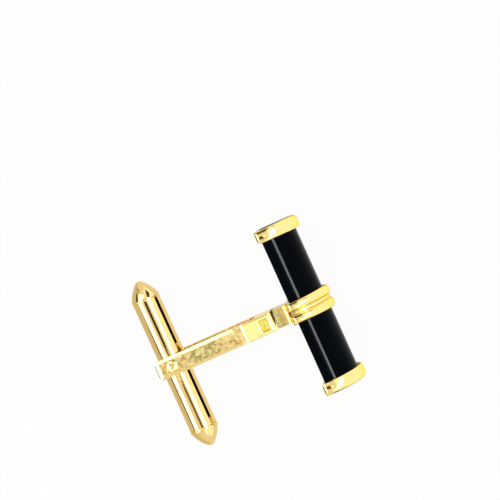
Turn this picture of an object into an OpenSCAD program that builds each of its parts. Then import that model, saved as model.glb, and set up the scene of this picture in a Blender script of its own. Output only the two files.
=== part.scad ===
// Bar cufflink: a half-round bar of black stone in gold mounts, on a post with a swivelling toggle.
// Millimetres. +X runs from the toggle to the crest of the bar, +Y along the bar, +Z along the
// swivel pin. The origin is on the post's axis, in the plane of the bar's back.

/* [Stones] */
// Radius of the half-round stones
stone_r = 3.55; // [2.8:0.05:4.4]
// Height of the straight side below each half round
stone_side = 0.1; // [0.08:0.02:0.4]
// Rounding of the long back edges of a stone
stone_edge_r = 0.08; // [0.04:0.01:0.08]
// Length of each stone that shows between its cap and the band
stone_show = 6.65; // [4:0.05:10]
// Depth of each stone's end inside its cap
stone_seat = 0.8; // [0.5:0.05:1]
// Radius of the rod that runs through both stones
rod_r = 0.5; // [0.3:0.05:0.7]
// Height of the rod above the flat backs of the stones
rod_up = 1.5; // [1.2:0.05:1.8]
// Length of each end of the rod that is held in a cap's end wall
rod_tenon = 0.3; // [0.15:0.05:0.35]

/* [End caps] */
// Length of an end cap along the bar
cap_len = 1.4; // [1.35:0.05:2.2]
// How far a cap stands out beside the stone
cap_side = 0.28; // [0.2:0.02:0.5]
// How much further the cap's crest stands out
cap_lift = 0.28; // [0:0.02:0.4]
// Radius of the cap's crown, from its lip to its outer rim
cap_crown_r = 2.6; // [2.5:0.1:8]
// Rounding of a cap's outer rim
cap_rim_r = 0.5; // [0.1:0.02:0.6]
// Rounding of the lip that meets the stone
cap_lip_r = 0.18; // [0.04:0.02:0.2]
// Rounding of a cap's two long back corners
cap_corner_r = 0.4; // [0.1:0.02:0.6]
// Rounding of a cap's two short back edges
cap_back_r = 0.4; // [0.1:0.02:0.5]

/* [Centre band] */
// Width of each half-round ring along the bar
ring_w = 1.02; // [0.7:0.02:1.4]
// How much further a ring's crest stands out than its sides
ring_lift = 0.1; // [0:0.02:0.2]
// Thickness of the web between the two stones
web_t = 0.38; // [0.3:0.02:0.6]
// How far the web's rim stands out beside the stone
web_side = 0.3; // [0.2:0.02:0.4]
// Rounding of the web's rim
web_rim_r = 0.13; // [0.04:0.01:0.14]
// Thickness of the strap behind the stones
strap_t = 0.42; // [0.3:0.02:0.6]
// Rounding of a ring's two back corners
ring_corner_r = 0.5; // [0.2:0.02:0.7]

/* [Post] */
// Distance from the strap to the block
neck_len = 1.93; // [1.4:0.05:3]
// How far the neck is hollowed on its front and rear
neck_waist = 0.7; // [0.7:0.05:1]
// Radius of those hollows' fillet at the strap
neck_fillet_r = 0.65; // [0.2:0.05:0.65]
// Radius of their corner at the block
neck_corner_r = 0.1; // [0.05:0.05:0.4]
// Length of the block along the post
block_len = 3.42; // [3:0.05:5]
// Solid length of the block behind the slot for the folded toggle
block_web = 1.85; // [1.7:0.05:2]
// How far the block stands out from the arms in front and behind
block_step = 0.3; // [0.1:0.02:0.5]
// How much less the block stands out at the neck than at the arms
block_taper = 0.24; // [0:0.02:0.3]
// Length of the bevel at the block's end next to the arms
block_bevel_arm = 0.26; // [0.1:0.02:0.3]
// Length of the bevel at the block's end next to the neck
block_bevel_neck = 0.36; // [0.1:0.02:0.4]
// Depth of both bevels
block_bevel_deep = 0.14; // [0.06:0.02:0.2]
// Length of the window along the post
window_len = 0.9; // [0.5:0.05:0.95]
// Width of the window along the bar
window_w = 1.3; // [0.8:0.05:1.4]
// Distance from the window to the block's end next to the neck
window_inset = 0.56; // [0.42:0.02:0.6]
// Length of the neck's tenon inside the block
tenon_len = 1.5; // [1.45:0.05:1.6]

/* [Arms] */
// Width of an arm along the bar
arm_w = 2.05; // [1.6:0.05:2.6]
// Thickness of an arm
arm_t = 0.65; // [0.5:0.05:0.9]
// Length of an arm past the swivel pin
arm_past = 1.75; // [1.3:0.05:2.2]
// Width of the bevel on an arm's long edges
arm_bevel = 0.32; // [0.1:0.02:0.4]
// Length of the bevel on an arm's end
arm_end_bevel = 0.45; // [0.1:0.05:0.5]
// Depth of the bevels on an arm's edges and end
arm_bevel_deep = 0.16; // [0.1:0.02:0.3]
// Rounding of an arm's two corners past the pin
arm_corner_r = 0.45; // [0.1:0.05:0.8]
// Length of the ramp where an arm meets the block
ramp_len = 0.9; // [0.3:0.05:1.2]
// Height of that ramp
ramp_up = 0.08; // [0.02:0.02:0.14]

/* [Toggle] */
// Length of the toggle from apex to apex
toggle_len = 18.95; // [14:0.05:24]
// Outer radius of the toggle's tube
tube_r = 1.5; // [1.3:0.025:1.8]
// Wall of the toggle's tube
tube_wall = 0.3; // [0.2:0.02:0.34]
// Length of a tip from its seam to its apex
tip_len = 2.1; // [2:0.05:2.6]
// How far a tip's shoulder stands out from the tube
tip_step = 0.045; // [0.01:0.005:0.08]
// Length of the shoulder beside the seam
tip_shoulder = 0.14; // [0.1:0.01:0.2]
// Bevel on each side of the seam between a tip and the tube
seam_bevel = 0.06; // [0.02:0.01:0.08]
// Radius of the long curve of a tip's side
tip_bulge_r = 4.3; // [4:0.1:8]
// Radius of a tip's apex
tip_apex_r = 0.6; // [0.3:0.05:0.7]
// Length of the spigot that holds a tip in the tube
spigot_len = 1.2; // [0.8:0.05:1.8]

/* [Swivel] */
// Radius of the swivel pin
pin_r = 0.5; // [0.35:0.01:0.52]
// Radius of the pin's riveted heads
head_r = 0.65; // [0.58:0.01:0.75]
// Height of the riveted heads
head_up = 0.14; // [0.06:0.02:0.24]
// Half the width of the square detent cam
cam_half = 0.57; // [0.56:0.01:0.6]
// Half the length of the cam along the pin
cam_half_len = 0.85; // [0.6:0.01:0.88]
// Thickness of a detent spring
spring_t = 0.15; // [0.1:0.01:0.18]
// Width of a detent spring
spring_w = 1; // [0.7:0.05:1.05]
// Half the length of the flat stretch that bears on the cam
spring_flat_half = 0.8; // [0.7:0.05:1.2]
// Length of a spring's flat ends
spring_end = 1; // [0.4:0.05:1.5]

/* [Clearances] */
// Radial clearance of the pin in the toggle
running_gap = 0.03; // [0.01:0.005:0.06]
// Gap between pieces that are soldered or pressed together
joint_gap = 0.01; // [0.005:0.001:0.015]
// Gap round the stones, filled with cement
cement_gap = 0.02; // [0.01:0.005:0.03]
// Gap between the toggle's tube and each arm
side_gap = 0.075; // [0.05:0.005:0.15]
// Gap between the folded toggle's tip and the block
fold_gap = 0.25; // [0.15:0.01:0.5]
// Gap left round the springs inside the tube
spring_gap = 0.03; // [0.01:0.005:0.03]
// Gap between a spring's end and the tip's spigot
spring_end_gap = 0.15; // [0.05:0.05:0.5]

/* [Hidden] */
$fn = 96;
// Every cut runs past its surface by this much
overrun = 1;
gold = "#e6bd5c";
onyx = "#0c0d10";
steel = "#b4b8bd";

// Bar
band_w = 2 * ring_w + web_t;
stone_in = web_t / 2 + cement_gap;
stone_out = band_w / 2 + stone_show + stone_seat;
cap_in = band_w / 2 + stone_show;
rod_x = strap_t + rod_up;
arch_x = strap_t + stone_side;
cap_arch_x = arch_x + cap_lift;
cap_r = stone_r + cap_side;
ring_arch_x = arch_x + ring_lift;
ring_r = stone_r + cement_gap + ring_w / 2;
web_r = stone_r + web_side;
strap_half = stone_r + cement_gap - joint_gap;

// Toggle and post
toggle_half = toggle_len / 2;
tube_half = toggle_half - tip_len;
tube_bore_r = tube_r - tube_wall;
tip_base_r = tube_r + tip_step;
arm_in = tube_r + side_gap;
arm_out = arm_in + arm_t;
block_half = arm_out + block_step;
block_half_neck = block_half - block_taper;
block_right = -neck_len;
block_left = block_right - block_len;
slot_end = block_right - block_web;
pivot_x = slot_end - fold_gap - toggle_half;
arm_left = pivot_x - arm_past;
spring_half_len = tube_half - spigot_len - spring_end_gap;

// The block is as wide as the arms, and the neck fits the strap's mortise, which is as wide as the block
block_half_w = arm_w / 2;
neck_half_w = block_half_w - joint_gap;
// Width of the small bevel along the block's long edges
block_edge = 0.12;
// Depth of the rings' stock inside their half round, which the stones are let into
ring_bed = 0.2;
// Least width of the strap's edge on each side of the post's foot
strap_edge = 0.18;
foot_half_w = min(neck_half_w, band_w / 2 - strap_edge);
// Half heights of the neck's foot and of its tenon
foot_half = block_half_neck;
tenon_half = 1.5;
tenon_half_w = 0.7;
// Thickness of the thinner ends of the arms, inside the block's slot
arm_tenon_t = 0.5;

// Places the outline (z, x) or a profile turned about the local Z axis along the bar
module along_bar() {
    rotate([-90, 0, 0]) rotate([0, 0, -90]) children();
}

// Section of a half round with straight sides and rounded back corners, as (z, x)
module arch_section(r, centre, corner) {
    translate([0, centre]) intersection() {
        circle(r);
        translate([-r, 0]) square([2 * r, r]);
    }
    difference() {
        translate([-r, 0]) square([2 * r, centre]);
        for (side = [-1, 1])
            scale([side, 1, 1]) translate([r - corner, 0]) corner_cut(corner);
    }
}

// What rounding a lower right corner of radius r takes away
module corner_cut(r) {
    difference() {
        translate([0, -overrun]) square([r + overrun, r + overrun]);
        translate([0, r]) circle(r);
    }
}

// Profile (radius, length) of a rim with both of its corners rounded
module rim_profile(reach, long, near_r, far_r) {
    difference() {
        square([reach, long]);
        translate([reach - near_r, 0]) corner_cut(near_r);
        translate([reach - far_r, long]) mirror([0, 1]) corner_cut(far_r);
    }
}

// Profile (radius, length) of a crowned rim, whose rounded corners run smoothly into the crown
module crowned_profile(reach, long, crown_r, near_r, far_r) {
    crown_x = reach - crown_r;
    difference() {
        intersection() {
            square([reach, long]);
            translate([crown_x, long / 2]) circle(crown_r, $fn = 4 * $fn);
        }
        for (end = [[near_r, -1], [far_r, 1]])
            translate([crown_x, long / 2]) scale([1, end[1], 1]) crown_corner_cut(crown_r, long / 2, end[0]);
    }
}

// What rounding the corner of a crown takes away, from the middle of the crown's circle
module crown_corner_cut(crown_r, half, r) {
    centre = [sqrt(pow(crown_r - r, 2) - pow(half - r, 2)), half - r];
    outward = centre / (crown_r - r);
    difference() {
        polygon([centre, centre + overrun * outward, centre + [overrun, overrun], centre + [0, overrun]]);
        translate(centre) circle(r);
    }
}

// A profile (radius, length) led up one side, over the arch and down the other side
module arch_sweep(centre) {
    translate([centre, 0, 0]) along_bar() rotate_extrude(angle = 180) children();
    rotate([0, 90, 0]) linear_extrude(centre) {
        children();
        mirror([1, 0]) children();
    }
}

// The space of the stone, with a gap round it, from y = 0 to y = long
module stone_space(gap, long) {
    translate([strap_t - gap, 0, 0]) along_bar() linear_extrude(long)
        arch_section(stone_r + gap, stone_side + gap, stone_edge_r);
}

module stone() {
    color(onyx) difference() {
        translate([0, stone_in, 0]) stone_space(0, stone_out - stone_in);
        translate([rod_x, 0, 0]) rotate([-90, 0, 0])
            cylinder(r = rod_r + cement_gap, h = stone_out + overrun);
    }
}

module stone_upper() {
    stone();
}

module stone_lower() {
    mirror([0, 1, 0]) stone();
}

module end_cap() {
    color(gold) translate([0, cap_in, 0]) difference() {
        intersection() {
            arch_sweep(cap_arch_x) crowned_profile(cap_r, cap_len, cap_crown_r, cap_lip_r, cap_rim_r);
            along_bar() linear_extrude(cap_len) arch_section(cap_r, cap_arch_x, cap_corner_r);
            // Rounds the two edges that cross the back
            translate([0, 0, -cap_r]) linear_extrude(2 * cap_r) mirror([1, 0])
                translate([-cap_arch_x - cap_r, 0])
                rim_profile(cap_arch_x + cap_r, cap_len, cap_back_r, cap_back_r);
        }
        translate([0, -overrun, 0]) stone_space(cement_gap, stone_seat + joint_gap + overrun);
        translate([rod_x, 0, 0]) rotate([-90, 0, 0])
            cylinder(r = rod_r + joint_gap, h = stone_seat + rod_tenon + joint_gap);
    }
}

module end_cap_upper() {
    end_cap();
}

module end_cap_lower() {
    mirror([0, 1, 0]) end_cap();
}

module core_rod() {
    half = stone_out + rod_tenon;
    color(gold) translate([rod_x, -half, 0]) rotate([-90, 0, 0]) cylinder(r = rod_r, h = 2 * half);
}

// The strap's own space, with a gap round it
module strap_space(gap) {
    translate([-overrun, -band_w / 2 - gap, -strap_half - gap])
        cube([strap_t + overrun + gap, band_w + 2 * gap, 2 * (strap_half + gap)]);
}

// Plate between the stones, whose rim is the thin ridge between the rings
module band_web() {
    color(gold) difference() {
        translate([0, -web_t / 2, 0]) arch_sweep(ring_arch_x) rim_profile(web_r, web_t, web_rim_r, web_rim_r);
        strap_space(0);
        translate([rod_x, 0, 0]) rotate([90, 0, 0])
            cylinder(r = rod_r + joint_gap, h = web_t + overrun, center = true);
    }
}

module ring_profile() {
    base_r = ring_r - ring_w / 2;
    translate([base_r, ring_w / 2]) intersection() {
        circle(ring_w / 2);
        translate([0, -ring_w / 2]) square([ring_w / 2, ring_w]);
    }
    translate([base_r - ring_lift - ring_bed, 0]) square([ring_lift + ring_bed, ring_w]);
}

// Half-round ring that grips the inner end of a stone and turns in at the strap
module band_ring() {
    color(gold) translate([0, web_t / 2, 0]) difference() {
        intersection() {
            arch_sweep(ring_arch_x) ring_profile();
            along_bar() linear_extrude(ring_w) arch_section(ring_r, ring_arch_x, ring_corner_r);
        }
        translate([0, -overrun, 0]) stone_space(cement_gap, ring_w + 2 * overrun);
        strap_space(joint_gap);
    }
}

module band_ring_upper() {
    band_ring();
}

module band_ring_lower() {
    mirror([0, 1, 0]) band_ring();
}

// Flat strap behind the stones, with a mortise for the foot of the post
module back_strap() {
    color(gold) difference() {
        translate([0, -band_w / 2, -strap_half]) cube([strap_t - joint_gap, band_w, 2 * strap_half]);
        translate([-overrun, -foot_half_w - joint_gap, -foot_half - joint_gap])
            cube([strap_t + 2 * overrun, 2 * (foot_half_w + joint_gap), 2 * (foot_half + joint_gap)]);
    }
}

// Hollow of the neck, from its bottom up, with a fillet at the strap and a tighter corner at the block
module neck_hollow() {
    difference() {
        translate([-overrun, 0]) square([neck_len + 2 * overrun, neck_waist + overrun]);
        translate([neck_len - neck_fillet_r, 0]) corner_cut(neck_fillet_r);
        translate([neck_corner_r, 0]) mirror([1, 0]) corner_cut(neck_corner_r);
    }
}

// Waisted neck between the block and the strap, with its tenon in the block
module post_neck() {
    color(gold) {
        translate([0, neck_half_w, 0]) rotate([90, 0, 0]) linear_extrude(2 * neck_half_w) difference() {
            translate([block_right, -foot_half]) square([neck_len, 2 * foot_half]);
            for (side = [-1, 1])
                scale([1, side, 1]) translate([block_right, foot_half - neck_waist]) neck_hollow();
        }
        translate([0, -foot_half_w, -foot_half])
            cube([strap_t - joint_gap, 2 * foot_half_w, 2 * foot_half]);
        translate([block_right - tenon_len, -tenon_half_w, -tenon_half])
            cube([tenon_len, 2 * tenon_half_w, 2 * tenon_half]);
    }
}

// Block that joins the two arms, open at its sides so that the folded toggle's tip fits in
module post_block() {
    front_edge = [
        [block_left, block_half - block_bevel_deep],
        [block_left + block_bevel_arm, block_half],
        [block_right - block_bevel_neck, block_half_neck],
        [block_right, block_half_neck - block_bevel_deep]
    ];
    rear_edge = [
        [block_right, -block_half_neck + block_bevel_deep],
        [block_right - block_bevel_neck, -block_half_neck],
        [block_left + block_bevel_arm, -block_half],
        [block_left, -block_half + block_bevel_deep]
    ];
    // What the small bevel takes off a long edge, and the slope that it follows
    edge_cut = [
        [-block_edge, 0],
        [0, -block_edge],
        [overrun, -block_edge],
        [overrun, overrun],
        [-block_edge, overrun]
    ];
    slope = atan(block_taper / (block_len - block_bevel_arm - block_bevel_neck));
    window_right = block_right - window_inset;
    color(gold) difference() {
        translate([0, block_half_w, 0]) rotate([90, 0, 0]) linear_extrude(2 * block_half_w)
            polygon(concat(front_edge, rear_edge));
        for (side = [-1, 1], face = [-1, 1])
            scale([1, side, face]) translate([block_left + block_bevel_arm, block_half_w, block_half])
                rotate([0, slope, 0]) translate([-overrun, 0, 0]) rotate([90, 0, 90])
                linear_extrude(block_len + 2 * overrun) polygon(edge_cut);
        translate([block_left - overrun, -block_half_w - overrun, -arm_in - arm_tenon_t - joint_gap])
            cube([
                slot_end - block_left + overrun,
                2 * (block_half_w + overrun),
                2 * (arm_in + arm_tenon_t + joint_gap)
            ]);
        translate([block_right - tenon_len - joint_gap, -tenon_half_w - joint_gap, -tenon_half - joint_gap])
            cube([tenon_len + overrun, 2 * (tenon_half_w + joint_gap), 2 * (tenon_half + joint_gap)]);
        translate([window_right - window_len, -window_w / 2, tenon_half])
            cube([window_len, window_w, block_half - tenon_half + overrun]);
    }
}

// Arm along the front of the toggle, with bevelled edges and a ramp up to the block
module frame_arm() {
    ramp_x = block_left - ramp_len;
    side_section = [
        [arm_left, arm_in],
        [arm_left, arm_out - arm_bevel_deep],
        [arm_left + arm_end_bevel, arm_out],
        [ramp_x, arm_out],
        [block_left, arm_out + ramp_up],
        [block_left, arm_in + arm_tenon_t],
        [slot_end, arm_in + arm_tenon_t],
        [slot_end, arm_in]
    ];
    // What the bevel takes off a long edge, up to the ramp
    bevel_cut = [
        [arm_w / 2 - arm_bevel, arm_out],
        [arm_w / 2, arm_out - arm_bevel_deep],
        [arm_w / 2 + overrun, arm_out - arm_bevel_deep],
        [arm_w / 2 + overrun, arm_out + overrun],
        [arm_w / 2 - arm_bevel, arm_out + overrun]
    ];
    color(gold) difference() {
        intersection() {
            translate([0, arm_w / 2, 0]) rotate([90, 0, 0]) linear_extrude(arm_w) polygon(side_section);
            linear_extrude(block_half) difference() {
                translate([arm_left, -arm_w / 2]) square([slot_end - arm_left, arm_w]);
                for (side = [-1, 1])
                    scale([1, side, 1]) translate([arm_left + arm_corner_r, -arm_w / 2])
                        mirror([1, 0]) corner_cut(arm_corner_r);
            }
        }
        for (side = [-1, 1])
            scale([1, side, 1]) translate([arm_left - overrun, 0, 0]) rotate([90, 0, 90])
                linear_extrude(ramp_x - arm_left + overrun) polygon(bevel_cut);
        translate([pivot_x, 0, 0]) cylinder(r = pin_r + joint_gap, h = block_half);
    }
}

module frame_arm_front() {
    frame_arm();
}

module frame_arm_rear() {
    mirror([0, 0, 1]) frame_arm();
}

// Riveted pin that the toggle swivels on
module pivot_pin() {
    dome_r = (pow(head_r, 2) + pow(head_up, 2)) / (2 * head_up);
    head_z = arm_out + joint_gap;
    color(gold) translate([pivot_x, 0, 0]) {
        translate([0, 0, -head_z]) cylinder(r = pin_r, h = 2 * head_z);
        for (side = [-1, 1])
            scale([1, 1, side]) translate([0, 0, head_z]) intersection() {
                translate([0, 0, head_up - dome_r]) sphere(dome_r);
                cylinder(r = head_r, h = head_up + overrun);
            }
    }
}

// Square cam on the pin, whose flats the springs bear on
module detent_cam() {
    color(steel) translate([pivot_x, 0, 0]) difference() {
        translate([-cam_half, -cam_half, -cam_half_len]) cube([2 * cam_half, 2 * cam_half, 2 * cam_half_len]);
        translate([0, 0, -cam_half_len - overrun])
            cylinder(r = pin_r + joint_gap, h = 2 * (cam_half_len + overrun));
    }
}

module toggle_tube() {
    profile = [
        [0, 0],
        [tube_r - seam_bevel, 0],
        [tube_r, seam_bevel],
        [tube_r, 2 * tube_half - seam_bevel],
        [tube_r - seam_bevel, 2 * tube_half],
        [0, 2 * tube_half]
    ];
    color(gold) translate([pivot_x, 0, 0]) difference() {
        translate([0, -tube_half, 0]) rotate([-90, 0, 0]) rotate_extrude() polygon(profile);
        translate([0, -tube_half - overrun, 0]) rotate([-90, 0, 0])
            cylinder(r = tube_bore_r, h = 2 * (tube_half + overrun));
        translate([0, 0, -tube_r - overrun]) cylinder(r = pin_r + running_gap, h = 2 * (tube_r + overrun));
    }
}

// Profile (radius, height above the seam) of a tip: shoulder, long curve and rounded apex
module tip_profile() {
    apex_y = tip_len - tip_apex_r;
    base = [tip_base_r, tip_shoulder];
    span = norm(base - [0, apex_y]);
    to_base = (base - [0, apex_y]) / span;
    inward = [to_base[1], -to_base[0]];
    near_r = tip_bulge_r - tip_apex_r;
    along = (pow(span, 2) + pow(near_r, 2) - pow(tip_bulge_r, 2)) / (2 * span);
    centre = [0, apex_y] + along * to_base + sqrt(pow(near_r, 2) - pow(along, 2)) * inward;
    meet_y = apex_y + tip_apex_r * (apex_y - centre[1]) / near_r;
    polygon([
        [0, 0],
        [tip_base_r - seam_bevel, 0],
        [tip_base_r, seam_bevel],
        [tip_base_r, tip_shoulder],
        [0, tip_shoulder]
    ]);
    intersection() {
        translate(centre) circle(tip_bulge_r, $fn = 4 * $fn);
        translate([0, tip_shoulder]) square([tip_base_r, meet_y - tip_shoulder]);
    }
    intersection() {
        translate([0, apex_y]) circle(tip_apex_r);
        translate([0, meet_y]) square([tip_apex_r, tip_len]);
    }
}

module toggle_tip() {
    color(gold) translate([pivot_x, tube_half, 0]) rotate([-90, 0, 0]) {
        rotate_extrude() tip_profile();
        translate([0, 0, -spigot_len]) cylinder(r = tube_bore_r - joint_gap, h = spigot_len);
    }
}

module toggle_tip_upper() {
    toggle_tip();
}

module toggle_tip_lower() {
    mirror([0, 1, 0]) toggle_tip();
}

// Bent flat spring between the tube's wall and the cam
module detent_spring() {
    near = cam_half + joint_gap;
    far = sqrt(pow(tube_bore_r, 2) - pow(spring_w / 2, 2)) - spring_t - spring_gap;
    bend_y = spring_half_len - spring_end;
    inner_edge = [
        [far, -spring_half_len], [far, -bend_y], [near, -spring_flat_half],
        [near, spring_flat_half], [far, bend_y], [far, spring_half_len]
    ];
    // The outer edge runs back the other way, and the spring is the same at both ends
    outer_edge = [for (point = inner_edge) [point[0] + spring_t, -point[1]]];
    color(steel) translate([pivot_x, 0, -spring_w / 2]) linear_extrude(spring_w)
        polygon(concat(inner_edge, outer_edge));
}

module detent_spring_inner() {
    detent_spring();
}

module detent_spring_outer() {
    translate([2 * pivot_x, 0, 0]) mirror([1, 0, 0]) detent_spring();
}

stone_upper();
stone_lower();
end_cap_upper();
end_cap_lower();
core_rod();
band_web();
band_ring_upper();
band_ring_lower();
back_strap();
post_neck();
post_block();
frame_arm_front();
frame_arm_rear();
pivot_pin();
detent_cam();
toggle_tube();
toggle_tip_upper();
toggle_tip_lower();
detent_spring_outer();
detent_spring_inner();
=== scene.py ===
"""Looks of the bar cufflink: gold, onyx and steel materials, a plain studio and the photograph's camera."""
import math

import bpy
from mathutils import Matrix, Vector


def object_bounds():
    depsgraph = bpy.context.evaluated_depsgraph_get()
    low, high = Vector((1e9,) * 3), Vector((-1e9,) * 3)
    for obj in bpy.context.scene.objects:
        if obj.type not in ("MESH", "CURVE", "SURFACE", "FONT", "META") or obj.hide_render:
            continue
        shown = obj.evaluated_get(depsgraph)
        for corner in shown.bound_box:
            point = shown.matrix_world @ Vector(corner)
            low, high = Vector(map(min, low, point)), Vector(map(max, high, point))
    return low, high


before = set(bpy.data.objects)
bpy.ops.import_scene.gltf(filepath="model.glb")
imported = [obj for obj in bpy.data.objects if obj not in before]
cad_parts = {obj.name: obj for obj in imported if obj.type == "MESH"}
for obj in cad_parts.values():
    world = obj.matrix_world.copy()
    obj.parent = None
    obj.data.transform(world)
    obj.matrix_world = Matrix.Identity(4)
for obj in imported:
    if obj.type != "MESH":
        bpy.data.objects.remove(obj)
cad_low, cad_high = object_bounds()
MM = 0.001

# Camera: its place over the bar, its turn about the line of sight and its two tilts
CAMERA_AT = Vector((11.264, 11.278, 152.48)) * MM
CAMERA_ROLL = math.radians(24.18)
CAMERA_TILT_Y = math.radians(-4.70)
CAMERA_TILT_X = math.radians(1.35)
FOCAL_PX = 1457
FRAME_PX = 500
SENSOR_MM = 36
NEAREST_SEEN = 0.001
FARTHEST_SEEN = 10

# How bright the studio is for metal where it has no card, and how bright all of it is for matt surfaces
STUDIO_LEVEL = 0.9
DIFFUSE_LEVEL = 0.72

# Cards of light and shade that the metal mirrors. Across is the angle from straight up towards +X, and
# along is the angle towards +Y, both in degrees. Lean is how far a card moves across for each degree
# along, and edge is how wide its soft edges are. Each card covers what the ones before it show.
STUDIO_CARDS = [
    # name, across from and to, along from and to, lean, edge, brightness
    ("right_side", 15, 150, -64, 62, 0, 10, 1.25),
    ("left_dim", -130, -60, -48, 66, 0, 8, 0.78),
    ("back_left", -110, -40, 54, 66, 0, 6, 0.42),
    ("left_box", -66, -34, -32, 49, 0.4, 5, 4.2),
    ("left_gap", -71, -65, -2.5, 26, 0, 2, 0.03),
    ("left_line", -82, -66, -14, -2.5, 0, 2, 0.25),
    ("left_gap_top", -84, -64, 24, 49, 0, 3, 0.06),
    ("right_strip", 23, 39, -38, 22, 0.6, 5, 3.6),
    ("right_strip_low", 8, 20, -62, -34, 0, 5, 2.8),
    ("right_tube", 27.5, 34.5, -11, 4, 0, 2, 90.0),
    ("low_light", -7, 7, -8, -1, 0, 2, 1.4),
    ("neck_light", -7, -1, -8, -1, 0, 2, 1.75),
    ("top_light", -16, 2, 40, 50, 0, 3, 3.4),
    ("right_spot", 40, 56, 32, 48, 0, 4, 0.2),
]

# Outline of the dark camera and its mount as the metal mirrors them: degrees to the right of the lens
# and above it, as seen from the cufflink
CAMERA_OUTLINE = [
    (-3, -14), (-1.5, -10), (-5.5, -7.5), (-4.5, -5), (-4, -1.5),
    (-21, -1.5), (-24, -3), (-23, -7.4), (-19.5, -7.7), (-18, -8),
    (-12, -8), (-11.8, -7), (-9.4, -7), (-9.2, -8), (-7.2, -11),
]

# Outline of the brown stand under the camera, in the same degrees
STAND_OUTLINE = [(-2, -9.8), (-17, -9.8), (-17, -15.5), (-2, -15.5)]

# Outline of the second cufflink of the pair, a dark shape beyond the bar's upper end, as (x, z) in mm
NEIGHBOUR_Y = 25
NEIGHBOUR_OUTLINE = [(-4, 6), (6, 6), (7, 34), (-3, 34)]

# Colours of these cards
CARD_BLACK = (0.02, 0.02, 0.02, 1)
STAND_BROWN = (0.2, 0.13, 0.08, 1)

# Soft box over the left side: its place, its width and its brightness
KEY_AT = (-0.24, 0.05, 0.2)
KEY_WIDTH = 0.25
KEY_RADIANCE = 2.2

# Floor of paper, which glows white for the camera. Its levels are how light it is where the metal mirrors
# it, by x in mm: painted light and shade, with a painted shadow under the bar and painted light beyond it.
FLOOR_WIDTH = 4
FLOOR_GLOW = 0.95
FLOOR_LEVELS = [
    (-45, 0.65), (-25, 0.7), (-17, 0.85), (-11, 0.95), (-0.5, 0.9),
    (0.3, 0.3), (4, 0.25), (6, 1.25), (8, 1.25),
]
PAPER_DARK = (0.84, 0.84, 0.84, 1)
PAPER_PALE = (0.87, 0.87, 0.87, 1)
WHITE = (1, 1, 1, 1)

# Radius that polishing gives the edges of the bar's gold, of the block and of the rest
WORN_EDGE = 0.18 * MM
BLOCK_EDGE = 0.13 * MM
CRISP_EDGE = 0.09 * MM
EDGE_SAMPLES = 6

# Relief of the surfaces, from its lowest to its highest
WAVE_RELIEF = 0.011 * MM
TURNED_RELIEF = 0.0008 * MM
HAMMERED_RELIEF = 0.11 * MM
HAIR_RELIEF = 0.0012 * MM
SATIN_RELIEF = 0.014 * MM
FILED_RELIEF = 0.01 * MM
STONE_RELIEF = 0.0015 * MM
STEEL_RELIEF = 0.002 * MM

# Features of the surfaces, per metre
WAVES = 650
HAMMER_MARKS = 2600
DULL_PATCHES = 420
HAIRS = 2600
SATIN_MOTTLE = 2600
ORANGE_REFLECTION_EDGES = 1100
FILE_LINES = 4200
FILE_SHADES = 1500
VEINS = 260
WIPE_MARKS = 1500
STONE_WAVES = 500
STEEL_LINES = 5200
PAPER_PATCHES = 300

# What most of a noise lies between
NOISE_SPAN = (0.3, 0.7)
SATIN_SPAN = (0.38, 0.66)
SHADES_SPAN = (0.4, 0.6)
VEINS_SPAN = (0.45, 0.75)
WIPES_SPAN = (0.35, 0.75)
POLISH_SPAN = (1.2, 1.9)

# Roughness, and for polished gold how far it goes below and above its own, as a share of it
SMOOTHER = 0.6
ROUGHER = 1.6
BEVEL_ROUGHNESS = 0.06
WINDOW_ROUGHNESS = 0.1
SATIN_ROUGHNESS = (0.22, 0.36)
FILED_ROUGHNESS = (0.18, 0.34)
STEEL_ROUGHNESS = (0.18, 0.32)
STONE_ROUGHNESS = (0.02, 0.055)

# Colours, which vary from the first to the second where there are two
POLISHED_GOLD = ((0.93, 0.7, 0.26, 1), (0.95, 0.73, 0.29, 1))
TURNED_GOLD = ((0.93, 0.66, 0.26, 1), (0.95, 0.69, 0.29, 1))
FILED_GOLD = ((0.92, 0.64, 0.22, 1), (1.0, 0.88, 0.36, 1))
BEVEL_GOLD = (0.93, 0.7, 0.27, 1)
# Painted reflection: the deeper yellow of gold mirroring gold down in the window
WINDOW_GOLD = (1.0, 0.86, 0.16, 1)
SATIN_COOL = (0.68, 0.56, 0.2, 1)
# Painted reflection: the orange that the arms show towards their ends
SATIN_REFLECTED_ORANGE = (0.88, 0.57, 0.2, 1)
SATIN_BRIGHT = (0.98, 0.82, 0.36, 1)
GLANCING_COLOR = (0.92, 0.78, 0.5, 1)
GLANCING_YELLOW = (0.98, 0.86, 0.3, 1)
ONYX_BLACK = ((0.0003, 0.0014, 0.0028, 1), (0.001, 0.003, 0.0048, 1))
STEEL_GREY = ((0.50, 0.51, 0.53, 1), (0.66, 0.67, 0.69, 1))

# The stone's index of refraction, and the level of what it mirrors, which is 0.5 when left alone
ONYX_IOR = 1.54
ONYX_SHINE = 0.02

# Grooves, where a pale painted reflection stands for gold mirroring gold: how far off a wall still closes a
# place in, how open a groove is and how open a bare face is, and the pale colour painted there
GROOVE_REACH = 0.3 * MM
GROOVE_SPAN = (0.35, 0.85)
GROOVE_SAMPLES = 6
GROOVE_COLOR = (1.0, 0.95, 0.72, 1)
# The painted reflection's deeper orange in grooves down in the window and on the block
WINDOW_GROOVE_COLOR = (1.0, 0.7, 0.14, 1)

# x at which the post goes into the block. What lies beyond it shows in the window.
BLOCK_X = -1.93 * MM

# Painted shade, a dark line in the corner beside the block: how wide the line is, how far from the block it
# has faded out, and how far it moves along the post for each step across
PAINTED_SHADE_COLOR = (0.01, 0.008, 0.004, 1)
CORNER_LINE = 0.08 * MM
CORNER_LINE_END = 0.28 * MM
CORNER_LINE_SLANT = 0.12

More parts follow.
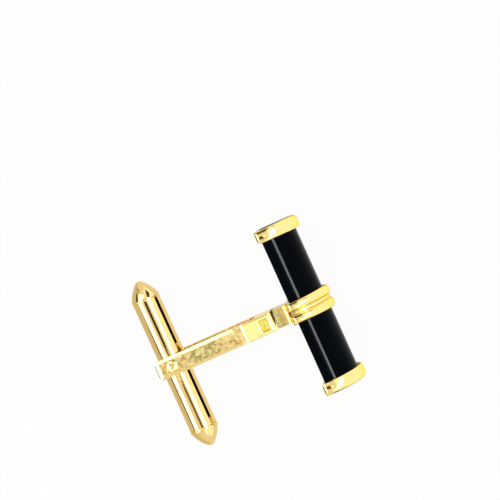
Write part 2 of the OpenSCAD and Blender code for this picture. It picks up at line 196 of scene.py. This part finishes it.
# The same painted shade along the back edges of the bar's gold and at the arms' ends: how wide the line is,
# how far it fades beyond that, and how far a face may look along x and still have it
BACK_LINE = 0.07 * MM
BACK_LINE_FADE = 0.14 * MM
BACK_LINE_FACING = 0.85
END_LINE = 0.05 * MM
END_LINE_FADE = 0.12 * MM
END_LINE_FACING = 0.8

# The arms' satin: how far a face has to look along the pin to start being satin and to be all satin, where
# its middle is, how far from there a painted orange reflection starts to make it redder and makes it all
# red, and how ragged that is
SATIN_FACING = (0.985, 0.997)
ARM_MIDDLE = -9.9 * MM
ORANGE_REFLECTION_SPAN = (1.9 * MM, 3.3 * MM)
ORANGE_REFLECTION_RAGGED = 2.4 * MM

# Numbers of a mix's colour sockets, which share their names with those for plain values
COLOR_A = 6
COLOR_B = 7
COLOR_RESULT = 2


def make_camera():
    data = bpy.data.cameras.new("camera")
    data.sensor_width = SENSOR_MM
    data.lens = FOCAL_PX * SENSOR_MM / FRAME_PX
    data.clip_start = NEAREST_SEEN
    data.clip_end = FARTHEST_SEEN
    camera = bpy.data.objects.new("camera", data)
    bpy.context.scene.collection.objects.link(camera)
    turn = (
        Matrix.Rotation(-CAMERA_TILT_X, 4, "X")
        @ Matrix.Rotation(-CAMERA_TILT_Y, 4, "Y")
        @ Matrix.Rotation(-CAMERA_ROLL, 4, "Z")
    )
    camera.matrix_world = Matrix.Translation(CAMERA_AT) @ turn
    bpy.context.scene.camera = camera


def put(tree, socket, value):
    """Links an output to an input socket, or sets the input to a plain value."""
    if isinstance(value, bpy.types.NodeSocket):
        tree.links.new(value, socket)
    else:
        socket.default_value = value


def split(tree, vector):
    """The X, Y and Z of a vector."""
    node = tree.nodes.new("ShaderNodeSeparateXYZ")
    tree.links.new(vector, node.inputs["Vector"])
    return node.outputs


def add_math(tree, operation, *values):
    node = tree.nodes.new("ShaderNodeMath")
    node.operation = operation
    for socket, value in zip(node.inputs, values):
        put(tree, socket, value)
    return node.outputs[0]


def add_mix(tree, factor, a, b):
    node = tree.nodes.new("ShaderNodeMix")
    put(tree, node.inputs["Factor"], factor)
    put(tree, node.inputs["A"], a)
    put(tree, node.inputs["B"], b)
    return node.outputs["Result"]


def add_color_mix(tree, factor, a, b):
    node = tree.nodes.new("ShaderNodeMix")
    node.data_type = "RGBA"
    put(tree, node.inputs["Factor"], factor)
    put(tree, node.inputs[COLOR_A], a)
    put(tree, node.inputs[COLOR_B], b)
    return node.outputs[COLOR_RESULT]


def add_range(tree, value, low, high, to_low=0.0, to_high=1.0, smooth=False):
    node = tree.nodes.new("ShaderNodeMapRange")
    if smooth:
        node.interpolation_type = "SMOOTHSTEP"
    put(tree, node.inputs["Value"], value)
    put(tree, node.inputs["From Min"], low)
    put(tree, node.inputs["From Max"], high)
    put(tree, node.inputs["To Min"], to_low)
    put(tree, node.inputs["To Max"], to_high)
    return node.outputs["Result"]


def vary(tree, noise, low, high, span=NOISE_SPAN):
    """A value that goes from low to high as the noise goes over its span."""
    return add_range(tree, noise, *span, low, high)


def vary_color(tree, noise, low, high, span=NOISE_SPAN, smooth=False):
    """A colour that goes from low to high as the noise goes over its span."""
    return add_color_mix(tree, add_range(tree, noise, *span, smooth=smooth), low, high)


def add_noise(tree, where, scale, detail, stretch=None):
    """Noise with a given number of features per metre, drawn out along the axes by stretch."""
    if stretch:
        mapping = tree.nodes.new("ShaderNodeMapping")
        mapping.inputs["Scale"].default_value = stretch
        tree.links.new(where, mapping.inputs["Vector"])
        where = mapping.outputs["Vector"]
    noise = tree.nodes.new("ShaderNodeTexNoise")
    noise.inputs["Scale"].default_value = scale
    noise.inputs["Detail"].default_value = detail
    tree.links.new(where, noise.inputs["Vector"])
    return noise.outputs["Fac"]


def add_bump(tree, height, relief, under=None):
    node = tree.nodes.new("ShaderNodeBump")
    node.inputs["Strength"].default_value = 1
    node.inputs["Distance"].default_value = relief
    put(tree, node.inputs["Height"], height)
    if under is not None:
        tree.links.new(under, node.inputs["Normal"])
    return node.outputs["Normal"]


def soft_edges(tree, radius):
    """Normals that round the sharp edges off, as polishing does."""
    node = tree.nodes.new("ShaderNodeBevel")
    node.samples = EDGE_SAMPLES
    node.inputs["Radius"].default_value = radius
    return node.outputs["Normal"]


def band(tree, value, low, high, edge):
    """One inside low to high, zero outside, with soft edges."""
    half = edge / 2
    rise = add_range(tree, value, low - half, low + half, smooth=True)
    fall = add_range(tree, value, high - half, high + half, smooth=True)
    return add_math(tree, "MULTIPLY", rise, add_math(tree, "SUBTRACT", 1.0, fall))


def new_material(name):
    material = bpy.data.materials.new(name)
    material.use_nodes = True
    tree = material.node_tree
    return material, tree, tree.nodes["Principled BSDF"]


def object_place(tree):
    return tree.nodes.new("ShaderNodeTexCoord").outputs["Object"]


def object_normal(tree):
    return tree.nodes.new("ShaderNodeTexCoord").outputs["Normal"]


def unshaded_past(tree, edge, fade, facing):
    """A mask for painted shade: zero up to an edge across x, and one beyond its fade and on faces that look
    along x.
    """
    past = add_range(tree, split(tree, object_place(tree))["X"], edge, edge + fade, smooth=True)
    look = add_math(tree, "ABSOLUTE", split(tree, object_normal(tree))["X"])
    along_x = add_math(tree, "GREATER_THAN", look, facing)
    return add_math(tree, "MAXIMUM", past, along_x)


def use_gold(tree, shader, color, unshaded=None, groove=GROOVE_COLOR, glancing=GLANCING_COLOR):
    """Gold of a colour, with another at glancing angles and a paler painted reflection in narrow grooves,
    where gold mirrors gold several times over. It is painted black, as shade, where its shade mask is zero."""
    crevice = tree.nodes.new("ShaderNodeAmbientOcclusion")
    crevice.samples = GROOVE_SAMPLES
    crevice.inputs["Distance"].default_value = GROOVE_REACH
    # Painted reflection: a paler colour in narrow grooves
    color = vary_color(tree, crevice.outputs["AO"], groove, color, GROOVE_SPAN, smooth=True)
    if unshaded is not None:
        # Painted shade: black where the shade mask is zero
        color = add_color_mix(tree, unshaded, PAINTED_SHADE_COLOR, color)
    tree.links.new(color, shader.inputs["Base Color"])
    shader.inputs["Metallic"].default_value = 1
    shader.inputs["Specular Tint"].default_value = glancing


def gold(
    name, roughness, relief, waves=WAVES, colors=POLISHED_GOLD, edge=CRISP_EDGE,
    groove=GROOVE_COLOR, glancing=GLANCING_COLOR, back_line=False,
):
    """Hand-polished gold: gentle waves, hairline scratches and slightly duller patches."""
    material, tree, shader = new_material(name)
    where = object_place(tree)
    patches = add_noise(tree, where, DULL_PATCHES, detail=4)
    # Painted shade along the back edges of the bar's gold
    unshaded = unshaded_past(tree, BACK_LINE, BACK_LINE_FADE, BACK_LINE_FACING) if back_line else None
    use_gold(tree, shader, vary_color(tree, patches, *colors), unshaded, groove, glancing)
    hairs = add_math(
        tree,
        "ADD",
        add_noise(tree, where, HAIRS, detail=2, stretch=(1, 0.06, 1)),
        add_noise(tree, where, HAIRS, detail=2, stretch=(0.06, 1, 1)),
    )
    wear = add_math(tree, "ADD", hairs, patches)
    rough = vary(tree, wear, roughness * SMOOTHER, roughness * ROUGHER, POLISH_SPAN)
    tree.links.new(rough, shader.inputs["Roughness"])
    waved = add_bump(tree, add_noise(tree, where, waves, detail=1), relief, soft_edges(tree, edge))
    tree.links.new(add_bump(tree, hairs, HAIR_RELIEF, waved), shader.inputs["Normal"])
    return material


def satin_gold():
    """Satin faces, redder towards the arms' ends with a painted reflection, with painted shade in a thin
    line at the ends and polished bevels: the flat faces look along the pin.
    """
    material, tree, shader = new_material("gold_satin")
    where = object_place(tree)
    look = add_math(tree, "ABSOLUTE", split(tree, object_normal(tree))["Z"])
    flat = add_range(tree, look, *SATIN_FACING, smooth=True)
    mottle = add_noise(tree, where, SATIN_MOTTLE, detail=5)
    past_middle = add_math(tree, "SUBTRACT", split(tree, where)["X"], ARM_MIDDLE)
    ragged = add_math(tree, "MULTIPLY", add_noise(tree, where, ORANGE_REFLECTION_EDGES, detail=2), ORANGE_REFLECTION_RAGGED)
    from_middle = add_math(tree, "ADD", add_math(tree, "ABSOLUTE", past_middle), ragged)
    # Painted orange reflection towards the arms' ends
    tint = vary_color(tree, from_middle, SATIN_COOL, SATIN_REFLECTED_ORANGE, ORANGE_REFLECTION_SPAN, smooth=True)
    satin = vary_color(tree, mottle, tint, SATIN_BRIGHT, SATIN_SPAN)
    # Painted shade in a thin line at the arms' ends
    unshaded = unshaded_past(tree, cad_low.x + END_LINE, END_LINE_FADE, END_LINE_FACING)
    use_gold(tree, shader, add_color_mix(tree, flat, BEVEL_GOLD, satin), unshaded)
    rough = add_mix(tree, flat, BEVEL_ROUGHNESS, vary(tree, mottle, *SATIN_ROUGHNESS))
    tree.links.new(rough, shader.inputs["Roughness"])
    height = add_math(tree, "MULTIPLY", mottle, flat)
    normal = add_bump(tree, height, SATIN_RELIEF, soft_edges(tree, CRISP_EDGE))
    tree.links.new(normal, shader.inputs["Normal"])
    return material


def filed_gold():
    """Gold left from the file: fine lines across the post, painted shade in a dark line in the corner beside
    the block, and a painted reflection of deeper yellow down in the window."""
    material, tree, shader = new_material("gold_filed")
    where = object_place(tree)
    lines = add_noise(tree, where, FILE_LINES, detail=3, stretch=(1, 0.06, 0.06))
    shades = add_noise(tree, where, FILE_SHADES, detail=1, stretch=(1, 0.1, 0.1))
    neck = vary_color(tree, shades, *FILED_GOLD, SHADES_SPAN, smooth=True)
    x, y, _ = split(tree, where)
    in_window = add_math(tree, "LESS_THAN", x, BLOCK_X)
    # Painted shade in a dark line in the corner beside the block
    slanted = add_math(tree, "SUBTRACT", x, add_math(tree, "MULTIPLY", y, CORNER_LINE_SLANT))
    off_corner = add_range(tree, slanted, BLOCK_X + CORNER_LINE, BLOCK_X + CORNER_LINE_END, smooth=True)
    unshaded = add_math(tree, "MAXIMUM", in_window, off_corner)
    # Painted reflection of deeper yellow down in the window
    color = add_color_mix(tree, in_window, neck, WINDOW_GOLD)
    # Painted reflection of deeper orange in the window's grooves
    groove = add_color_mix(tree, in_window, GROOVE_COLOR, WINDOW_GROOVE_COLOR)
    use_gold(tree, shader, color, unshaded, groove)
    rough = add_mix(tree, in_window, vary(tree, lines, *FILED_ROUGHNESS), WINDOW_ROUGHNESS)
    tree.links.new(rough, shader.inputs["Roughness"])
    normal = add_bump(tree, lines, FILED_RELIEF, soft_edges(tree, CRISP_EDGE))
    tree.links.new(normal, shader.inputs["Normal"])
    return material


def onyx():
    """Polished black stone with faint cloudy veins and wiping marks."""
    material, tree, shader = new_material("onyx")
    where = object_place(tree)
    veins = add_noise(tree, where, VEINS, detail=6, stretch=(1, 0.35, 1))
    tree.links.new(vary_color(tree, veins, *ONYX_BLACK, VEINS_SPAN), shader.inputs["Base Color"])
    marks = add_noise(tree, where, WIPE_MARKS, detail=5, stretch=(1, 0.15, 1))
    tree.links.new(vary(tree, marks, *STONE_ROUGHNESS, WIPES_SPAN), shader.inputs["Roughness"])
    shader.inputs["IOR"].default_value = ONYX_IOR
    shader.inputs["Specular IOR Level"].default_value = ONYX_SHINE
    waved = add_bump(tree, add_noise(tree, where, STONE_WAVES, detail=1), STONE_RELIEF)
    tree.links.new(waved, shader.inputs["Normal"])
    return material


def spring_steel():
    """Bright rolled steel with lines along the strip."""
    material, tree, shader = new_material("spring_steel")
    lines = add_noise(tree, object_place(tree), STEEL_LINES, detail=3, stretch=(1, 0.04, 1))
    tree.links.new(vary_color(tree, lines, *STEEL_GREY), shader.inputs["Base Color"])
    shader.inputs["Metallic"].default_value = 1
    tree.links.new(vary(tree, lines, *STEEL_ROUGHNESS), shader.inputs["Roughness"])
    tree.links.new(add_bump(tree, lines, STEEL_RELIEF), shader.inputs["Normal"])
    return material


def ray_kinds(tree):
    """Whether the camera sees the surface directly, and whether metal or glass mirrors it."""
    path = tree.nodes.new("ShaderNodeLightPath")
    mirrored = add_math(tree, "MAXIMUM", path.outputs["Is Glossy Ray"], path.outputs["Is Transmission Ray"])
    return path.outputs["Is Camera Ray"], mirrored


def make_world():
    world = bpy.data.worlds.new("world")
    bpy.context.scene.world = world
    world.use_nodes = True
    tree = world.node_tree
    background = tree.nodes["Background"]
    background.inputs["Color"].default_value = WHITE
    x, y, z = split(tree, tree.nodes.new("ShaderNodeTexCoord").outputs["Generated"])
    across = add_math(tree, "DEGREES", add_math(tree, "ARCTAN2", x, z))
    along = add_math(tree, "DEGREES", add_math(tree, "ARCSINE", y))
    level = STUDIO_LEVEL
    for _, left, right, low, high, lean, edge, brightness in STUDIO_CARDS:
        place = across
        if lean:
            place = add_math(tree, "SUBTRACT", across, add_math(tree, "MULTIPLY", along, lean))
        inside = add_math(
            tree, "MULTIPLY", band(tree, place, left, right, edge), band(tree, along, low, high, edge)
        )
        level = add_mix(tree, inside, level, brightness)
    camera_ray, mirrored = ray_kinds(tree)
    strength = add_mix(tree, camera_ray, add_mix(tree, mirrored, DIFFUSE_LEVEL, level), 1.0)
    tree.links.new(strength, background.inputs["Strength"])


def make_key_lamp():
    """A soft box over the left side, which the metal doesn't mirror."""
    data = bpy.data.lights.new("key", "AREA")
    data.shape = "SQUARE"
    data.size = KEY_WIDTH
    data.energy = KEY_RADIANCE * math.pi * KEY_WIDTH * KEY_WIDTH
    lamp = bpy.data.objects.new("key", data)
    bpy.context.scene.collection.objects.link(lamp)
    lamp.location = KEY_AT
    lamp.rotation_euler = lamp.location.to_track_quat("Z", "Y").to_euler()
    lamp.visible_camera = False
    lamp.visible_glossy = False


def make_card(name, corners, color=CARD_BLACK):
    """A dark card that only shows in reflections."""
    mesh = bpy.data.meshes.new(name)
    mesh.from_pydata(corners, [], [list(range(len(corners)))])
    card = bpy.data.objects.new(name, mesh)
    bpy.context.scene.collection.objects.link(card)
    material, tree, shader = new_material(name)
    shader.inputs["Base Color"].default_value = color
    mesh.materials.append(material)
    card.visible_camera = False
    card.visible_diffuse = False
    card.visible_shadow = False


def in_lens_plane(outline):
    """Corners at the camera's height, from degrees to the right of the lens and above it."""
    return [
        (
            CAMERA_AT.x + CAMERA_AT.z * math.tan(math.radians(right)),
            CAMERA_AT.y + CAMERA_AT.z * math.tan(math.radians(up)),
            CAMERA_AT.z,
        )
        for right, up in outline
    ]


def make_cards():
    make_card("camera_card", in_lens_plane(CAMERA_OUTLINE))
    make_card("stand_card", in_lens_plane(STAND_OUTLINE), STAND_BROWN)
    make_card("neighbour_card", [(x * MM, NEIGHBOUR_Y * MM, z * MM) for x, z in NEIGHBOUR_OUTLINE])


def floor_levels(tree):
    """How light the floor is where the metal mirrors it: painted light and shade by x, darkest under the
    bar.
    """
    first, last = FLOOR_LEVELS[0][0], FLOOR_LEVELS[-1][0]
    ramp = tree.nodes.new("ShaderNodeValToRGB")
    stops = ramp.color_ramp.elements
    # A new ramp has its first and its last stop
    for place, _ in FLOOR_LEVELS[1:-1]:
        stops.new((place - first) / (last - first))
    for stop, (_, level) in zip(stops, FLOOR_LEVELS):
        stop.color = (level, level, level, 1)
    x = split(tree, object_place(tree))["X"]
    tree.links.new(add_range(tree, x, first * MM, last * MM), ramp.inputs["Fac"])
    return ramp.outputs["Color"]


def make_floor():
    bpy.ops.mesh.primitive_plane_add(size=FLOOR_WIDTH, location=(0, 0, cad_low.z))
    floor = bpy.context.object
    floor.name = "floor"
    material, tree, shader = new_material("floor")
    shader.inputs["Roughness"].default_value = 1
    shader.inputs["Specular IOR Level"].default_value = 0
    paper = add_noise(tree, object_place(tree), PAPER_PATCHES, detail=4)
    tree.links.new(vary_color(tree, paper, PAPER_DARK, PAPER_PALE), shader.inputs["Base Color"])
    camera_ray, mirrored = ray_kinds(tree)
    glow = tree.nodes.new("ShaderNodeEmission")
    tree.links.new(add_color_mix(tree, camera_ray, floor_levels(tree), WHITE), glow.inputs["Color"])
    share = add_math(tree, "ADD", add_math(tree, "MULTIPLY", camera_ray, FLOOR_GLOW), mirrored)
    mix = tree.nodes.new("ShaderNodeMixShader")
    for socket, value in zip(mix.inputs, (share, shader.outputs["BSDF"], glow.outputs["Emission"])):
        tree.links.new(value, socket)
    tree.links.new(mix.outputs["Shader"], tree.nodes["Material Output"].inputs["Surface"])
    floor.data.materials.append(material)


make_camera()
gold_wavy = gold(
    "gold_wavy", roughness=0.05, relief=WAVE_RELIEF, edge=WORN_EDGE, glancing=GLANCING_YELLOW, back_line=True
)
gold_beveled = gold(
    "gold_beveled", roughness=0.05, relief=WAVE_RELIEF, edge=BLOCK_EDGE,
    groove=WINDOW_GROOVE_COLOR, glancing=GLANCING_YELLOW,
)
gold_turned = gold("gold_turned", roughness=0.045, relief=TURNED_RELIEF, colors=TURNED_GOLD)
gold_hammered = gold("gold_hammered", roughness=0.08, relief=HAMMERED_RELIEF, waves=HAMMER_MARKS)

# Material by the start of a node's name. What isn't here is wavy gold.
MATERIAL_OF = {
    "stone": onyx(),
    "frame_arm": satin_gold(),
    "post_neck": filed_gold(),
    "post_block": gold_beveled,
    "pivot_pin": gold_hammered,
    "detent": spring_steel(),
    "toggle": gold_turned,
    "core_rod": gold_turned,
}
for name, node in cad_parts.items():
    matches = [material for start, material in MATERIAL_OF.items() if name.startswith(start)]
    node.material_slots[0].material = matches[0] if matches else gold_wavy

make_floor()
make_world()
make_key_lamp()
make_cards()
bpy.context.scene.view_settings.view_transform = "Standard"
